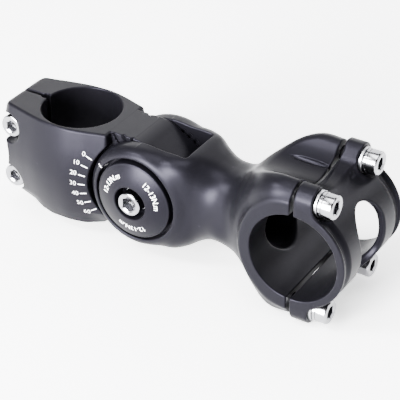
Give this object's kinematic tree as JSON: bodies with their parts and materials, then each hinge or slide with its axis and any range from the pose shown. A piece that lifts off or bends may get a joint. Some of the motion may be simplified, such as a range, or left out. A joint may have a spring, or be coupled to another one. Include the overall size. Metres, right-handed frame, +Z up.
{
  "type": "adjustable handlebar stem",
  "caption": "Tilting handlebar stem: slit steerer clamp, toothed pivot with domed caps, forged extension and a windowed faceplate held by face bolts.",
  "frame": {"origin": "on the steerer tube axis, halfway up the steerer clamp", "axes": "+Z up along the steerer axis, +X forward from the steerer to the handlebar, +Y to the rider's left"},
  "size_m": [0.1414, 0.0426, 0.052],
  "materials": {
    "black_forging": "fine-blasted black anodised",
    "black_cap": "satin black anodised",
    "bright_bolt": "bright plated",
    "zinc_steel": "zinc plated"
  },
  "bodies": {
    "clamp": {"steerer_clamp": "black_forging"},
    "extension": {"extension": "black_forging", "pivot_sleeve": "zinc_steel", "pivot_cap_right": "black_cap", "pivot_cap_left": "black_cap", "pivot_washer": "zinc_steel", "pivot_nut": "zinc_steel"},
    "faceplate": {"faceplate": "black_forging", "face_washer_upper_right": "zinc_steel", "face_washer_upper_left": "zinc_steel", "face_washer_lower_right": "zinc_steel", "face_washer_lower_left": "zinc_steel"},
    "pivot_bolt": {"pivot_bolt": "bright_bolt"},
    "steerer_bolt_upper": {"steerer_bolt_upper": "bright_bolt"},
    "steerer_bolt_lower": {"steerer_bolt_lower": "bright_bolt"},
    "face_bolt_upper_right": {"face_bolt_upper_right": "bright_bolt"},
    "face_bolt_upper_left": {"face_bolt_upper_left": "bright_bolt"},
    "face_bolt_lower_right": {"face_bolt_lower_right": "bright_bolt"},
    "face_bolt_lower_left": {"face_bolt_lower_left": "bright_bolt"}
  },
  "joints": [
    {"name": "tilt", "type": "hinge", "parent": "clamp", "child": "extension", "pos_m": [0.032, 0, 0], "axis": [0, -1, 0], "range_deg": [0, 60]},
    {"name": "faceplate_release", "type": "slide", "parent": "extension", "child": "faceplate", "axis": [1, 0, 0], "range_m": [0, 0.008]},
    {"name": "pivot_bolt_turn", "type": "hinge", "parent": "extension", "child": "pivot_bolt", "pos_m": [0.032, 0, 0], "axis": [0, -1, 0], "continuous": true},
    {"name": "steerer_bolt_upper_turn", "type": "hinge", "parent": "clamp", "child": "steerer_bolt_upper", "pos_m": [-0.0224, 0, 0.0102], "axis": [0, -1, 0], "continuous": true},
    {"name": "steerer_bolt_lower_turn", "type": "hinge", "parent": "clamp", "child": "steerer_bolt_lower", "pos_m": [-0.0224, 0, -0.0102], "axis": [0, -1, 0], "continuous": true},
    {"name": "face_bolt_upper_right_turn", "type": "hinge", "parent": "faceplate", "child": "face_bolt_upper_right", "pos_m": [0.1, -0.01555, 0.0227], "axis": [1, 0, 0], "continuous": true},
    {"name": "face_bolt_upper_left_turn", "type": "hinge", "parent": "faceplate", "child": "face_bolt_upper_left", "pos_m": [0.1, 0.01555, 0.0227], "axis": [1, 0, 0], "continuous": true},
    {"name": "face_bolt_lower_right_turn", "type": "hinge", "parent": "faceplate", "child": "face_bolt_lower_right", "pos_m": [0.1, -0.01555, -0.0179], "axis": [1, 0, 0], "continuous": true},
    {"name": "face_bolt_lower_left_turn", "type": "hinge", "parent": "faceplate", "child": "face_bolt_lower_left", "pos_m": [0.1, 0.01555, -0.0179], "axis": [1, 0, 0], "continuous": true}
  ]
}
